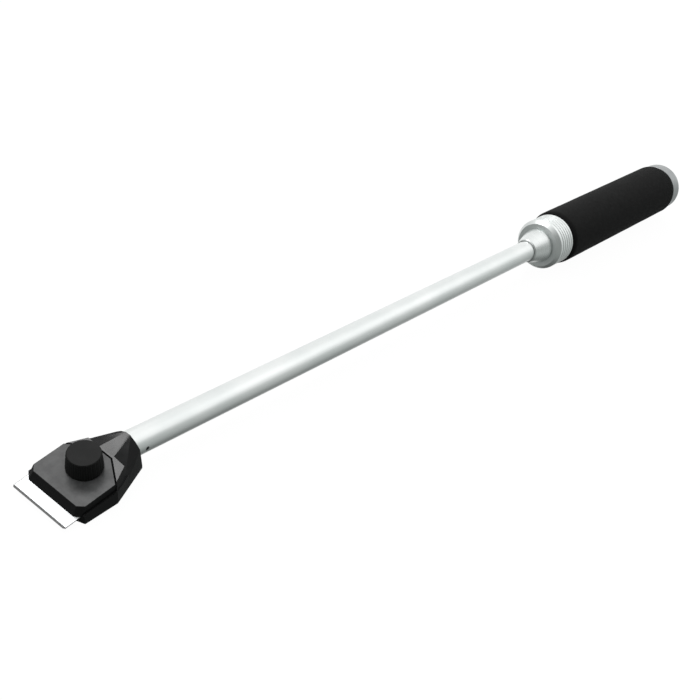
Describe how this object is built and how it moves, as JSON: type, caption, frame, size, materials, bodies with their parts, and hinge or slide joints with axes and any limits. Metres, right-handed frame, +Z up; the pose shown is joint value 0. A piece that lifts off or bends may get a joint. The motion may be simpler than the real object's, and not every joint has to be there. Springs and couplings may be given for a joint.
{
  "type": "long handled blade scraper",
  "caption": "Long scraper for car glass: thin blade clamped by a thumb knob in a faceted plastic head, on a slim tube that slides into a foam grip behind a twist lock collar.",
  "frame": {"origin": "middle of the scraper's box, on the ground plane under the foam grip", "axes": "+X along the tube from the blade to the grip, +Y across the blade, +Z up on the knob side"},
  "size_m": [0.6954, 0.041, 0.0406],
  "materials": {
    "blade_steel": "ground and polished steel with a bright edge bevel",
    "head_plastic": "black moulded plastic, fine spark texture on the side walls",
    "plate_plastic": "black moulded plastic with a satin deck",
    "knob_plastic": "deep black moulded plastic",
    "fastener_steel": "zinc plated steel",
    "pin_steel": "dark rolled spring steel",
    "tube_aluminium": "satin anodised aluminium tube",
    "collar_aluminium": "turned aluminium with fine lathe lines",
    "cap_aluminium": "satin aluminium, slightly duller than the collar",
    "slide_plastic": "dark slippery nylon",
    "grip_foam": "black closed cell foam with fine pores"
  },
  "bodies": {
    "grip": {"grip_tube": "tube_aluminium", "foam_grip": "grip_foam", "end_cap": "cap_aluminium", "cap_pin": "pin_steel", "ferrule": "collar_aluminium", "ferrule_pin": "pin_steel", "collet": "slide_plastic"},
    "slip": {"slip_ring": "slide_plastic"},
    "collar": {"lock_collar": "collar_aluminium"},
    "shaft": {"shaft_tube": "tube_aluminium", "head_base": "head_plastic", "cross_pin": "pin_steel", "clamp_nut": "fastener_steel", "guide_bush": "slide_plastic", "guide_pin": "pin_steel"},
    "plate": {"clamp_plate": "plate_plastic", "knob_washer": "fastener_steel"},
    "knob": {"clamp_knob": "knob_plastic", "knob_stud": "fastener_steel"},
    "blade": {"blade": "blade_steel"}
  },
  "joints": [
    {"name": "tube_slide", "type": "slide", "parent": "grip", "child": "shaft", "axis": [1, 0, 0], "range_m": [0, 0.12]},
    {"name": "collar_travel", "type": "slide", "parent": "grip", "child": "slip", "axis": [-1, 0, 0], "range_m": [0, 0.00075]},
    {"name": "collar_turn", "type": "hinge", "parent": "slip", "child": "collar", "pos_m": [0.14544, 0, 0.0203], "axis": [-1, 0, 0], "range_deg": [0, 180]},
    {"name": "plate_lift", "type": "slide", "parent": "shaft", "child": "plate", "axis": [-0.2419, 0, 0.9703], "range_m": [0, 0.0016]},
    {"name": "knob_turn", "type": "hinge", "parent": "plate", "child": "knob", "pos_m": [-0.31965, 0, 0.01986], "axis": [-0.2419, 0, 0.9703], "range_deg": [0, 720]},
    {"name": "blade_slide", "type": "slide", "parent": "shaft", "child": "blade", "axis": [-0.9703, 0, -0.2419], "range_m": [0, 0.012]}
  ],
  "couplings": [
    {"joint": "collar_travel", "follows": "collar_turn", "m_per_rad": 0.00023873},
    {"joint": "plate_lift", "follows": "knob_turn", "m_per_rad": 0.00012732}
  ]
}
